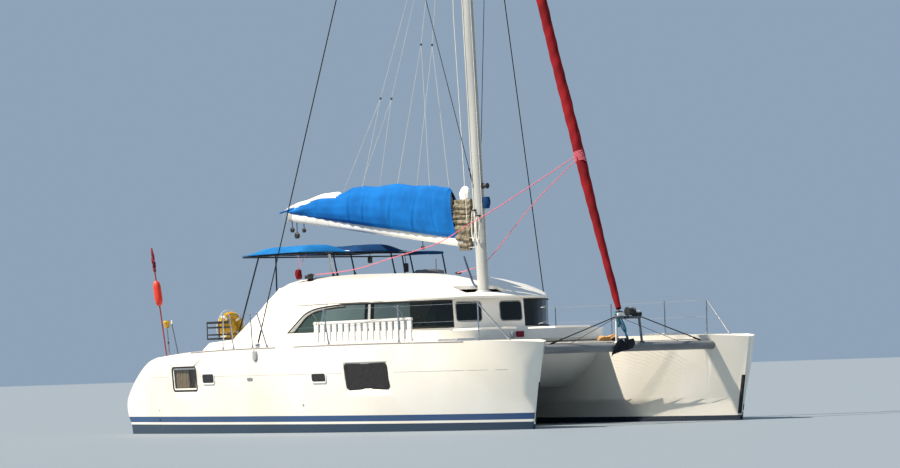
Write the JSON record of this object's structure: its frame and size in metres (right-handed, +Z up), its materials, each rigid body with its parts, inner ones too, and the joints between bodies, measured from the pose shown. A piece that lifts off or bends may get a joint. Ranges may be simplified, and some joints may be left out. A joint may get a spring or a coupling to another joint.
{
  "type": "sailing catamaran",
  "caption": "Cruising sailing catamaran with furled sails, hinged boom, steering, propellers, sliding saloon door and opening deck hatches.",
  "frame": {"origin": "amidships on the centre plane at the waterline", "axes": "+X forward to the bows, +Y to port, +Z up the mast"},
  "size_m": [11.55, 6.53, 17.75],
  "materials": {
    "gelcoat": "polished white gelcoat over glass fibre",
    "nonskid": "moulded non-slip deck gelcoat",
    "cabin_glass": "dark tinted acrylic glazing",
    "hatch_plastic": "moulded deck lid",
    "antifouling": "dull blue antifouling paint",
    "drive_paint": "grey painted alloy leg",
    "engine_iron": "painted diesel engine, a plain block",
    "bronze": "bronze propeller",
    "anodised": "satin anodised extrusion",
    "boom_paint": "white painted aluminium boom",
    "stainless": "polished stainless steel",
    "galvanised": "dark galvanised anchor",
    "net": "knotless trampoline net",
    "blue_canvas": "bright blue acrylic canvas",
    "red_canvas": "dark red sun strip of the furled sail",
    "black_plastic": "black moulded plastic",
    "orange_float": "orange float on a red pole",
    "yellow_float": "yellow lifebuoy cover",
    "upholstery": "beige cushions",
    "saloon_wood": "varnished table top"
  },
  "bodies": {
    "platform": {"hull_starboard": "gelcoat", "hull_port": "gelcoat", "bridgedeck": "gelcoat", "cabin": "gelcoat", "coachroof": "gelcoat", "cockpit_seats": "gelcoat", "cockpit_table": "gelcoat", "helm_console": "gelcoat", "foredeck": "nonskid", "cabin_glass_starboard": "cabin_glass", "cabin_glass_port": "cabin_glass", "front_window_starboard": "cabin_glass", "front_window_port": "cabin_glass", "keel_starboard": "antifouling", "keel_port": "antifouling", "saildrive_starboard": "drive_paint", "saildrive_port": "drive_paint", "engine_starboard": "engine_iron", "engine_port": "engine_iron", "mast": "anodised", "crossbeam": "anodised", "centre_beam": "anodised", "gangway": "anodised", "shroud_starboard": "stainless", "shroud_port": "stainless", "rail_starboard": "stainless", "rail_port": "stainless", "bimini_frame": "stainless", "windlass": "stainless", "winch_starboard": "stainless", "winch_port": "stainless", "anchor": "galvanised", "trampoline_starboard": "net", "trampoline_port": "net", "bimini_starboard": "blue_canvas", "bimini_centre": "blue_canvas", "furled_genoa": "red_canvas", "furler_drum": "black_plastic", "basket": "black_plastic", "danbuoy": "orange_float", "lifebuoy": "yellow_float", "saloon_settee": "upholstery", "helm_seat": "upholstery", "saloon_table": "saloon_wood"},
    "gooseneck": {"gooseneck": "stainless"},
    "boom": {"boom": "boom_paint", "sail_cover": "blue_canvas"},
    "steering_wheel": {"steering_wheel": "stainless"},
    "saloon_door": {"saloon_door": "cabin_glass"},
    "rudder_starboard": {"rudder_starboard": "antifouling"},
    "rudder_port": {"rudder_port": "antifouling"},
    "propeller_starboard": {"propeller_starboard": "bronze"},
    "propeller_port": {"propeller_port": "bronze"},
    "engine_hatch_starboard": {"engine_hatch_starboard": "hatch_plastic"},
    "engine_hatch_port": {"engine_hatch_port": "hatch_plastic"},
    "cabin_hatch_starboard": {"cabin_hatch_starboard": "cabin_glass"},
    "cabin_hatch_port": {"cabin_hatch_port": "cabin_glass"},
    "foredeck_lid_starboard": {"foredeck_lid_starboard": "nonskid"},
    "foredeck_lid_port": {"foredeck_lid_port": "nonskid"}
  },
  "joints": [
    {"name": "boom_swing", "type": "hinge", "parent": "platform", "child": "gooseneck", "pos_m": [1.06, 0, 3.17], "axis": [0, 0, 1], "range_deg": [-50, 50]},
    {"name": "boom_lift", "type": "hinge", "parent": "gooseneck", "child": "boom", "pos_m": [0.985, 0, 3.17], "axis": [0, 1, 0], "range_deg": [-2, 5]},
    {"name": "rudder_turn_starboard", "type": "hinge", "parent": "platform", "child": "rudder_starboard", "pos_m": [-4.85, -2.2, -0.5], "axis": [0, 0, 1], "range_deg": [-35, 35]},
    {"name": "rudder_turn_port", "type": "hinge", "parent": "platform", "child": "rudder_port", "pos_m": [-4.85, 2.2, -0.5], "axis": [0, 0, 1], "range_deg": [-35, 35]},
    {"name": "wheel_turn", "type": "hinge", "parent": "platform", "child": "steering_wheel", "pos_m": [-2.09, 1.1, 1.76], "axis": [1, 0, 0], "range_deg": [-350, 350]},
    {"name": "saloon_door_slide", "type": "slide", "parent": "platform", "child": "saloon_door", "axis": [0, -1, 0], "range_m": [0, 0.84]},
    {"name": "propeller_spin_starboard", "type": "hinge", "parent": "platform", "child": "propeller_starboard", "pos_m": [-4.2, -2.24, -0.7], "axis": [1, 0, 0], "continuous": true},
    {"name": "engine_hatch_lift_starboard", "type": "hinge", "parent": "platform", "child": "engine_hatch_starboard", "pos_m": [-4, -2.05, 1.4224], "axis": [0, 1, 0], "range_deg": [0, 85]},
    {"name": "cabin_hatch_lift_starboard", "type": "hinge", "parent": "platform", "child": "cabin_hatch_starboard", "pos_m": [3.88, -2.2, 1.4947], "axis": [0, 1, 0], "range_deg": [0, 85]},
    {"name": "foredeck_lid_lift_starboard", "type": "hinge", "parent": "platform", "child": "foredeck_lid_starboard", "pos_m": [2.05, -0.8, 1.675], "axis": [0, -1, 0], "range_deg": [0, 85]},
    {"name": "propeller_spin_port", "type": "hinge", "parent": "platform", "child": "propeller_port", "pos_m": [-4.2, 2.24, -0.7], "axis": [1, 0, 0], "continuous": true},
    {"name": "engine_hatch_lift_port", "type": "hinge", "parent": "platform", "child": "engine_hatch_port", "pos_m": [-4, 2.05, 1.4224], "axis": [0, 1, 0], "range_deg": [0, 85]},
    {"name": "cabin_hatch_lift_port", "type": "hinge", "parent": "platform", "child": "cabin_hatch_port", "pos_m": [3.88, 2.2, 1.4947], "axis": [0, 1, 0], "range_deg": [0, 85]},
    {"name": "foredeck_lid_lift_port", "type": "hinge", "parent": "platform", "child": "foredeck_lid_port", "pos_m": [2.05, 0.8, 1.675], "axis": [0, -1, 0], "range_deg": [0, 85]}
  ],
  "couplings": [
    {"joint": "rudder_turn_port", "follows": "rudder_turn_starboard", "ratio": 1},
    {"joint": "wheel_turn", "follows": "rudder_turn_starboard", "ratio": 10}
  ]
}
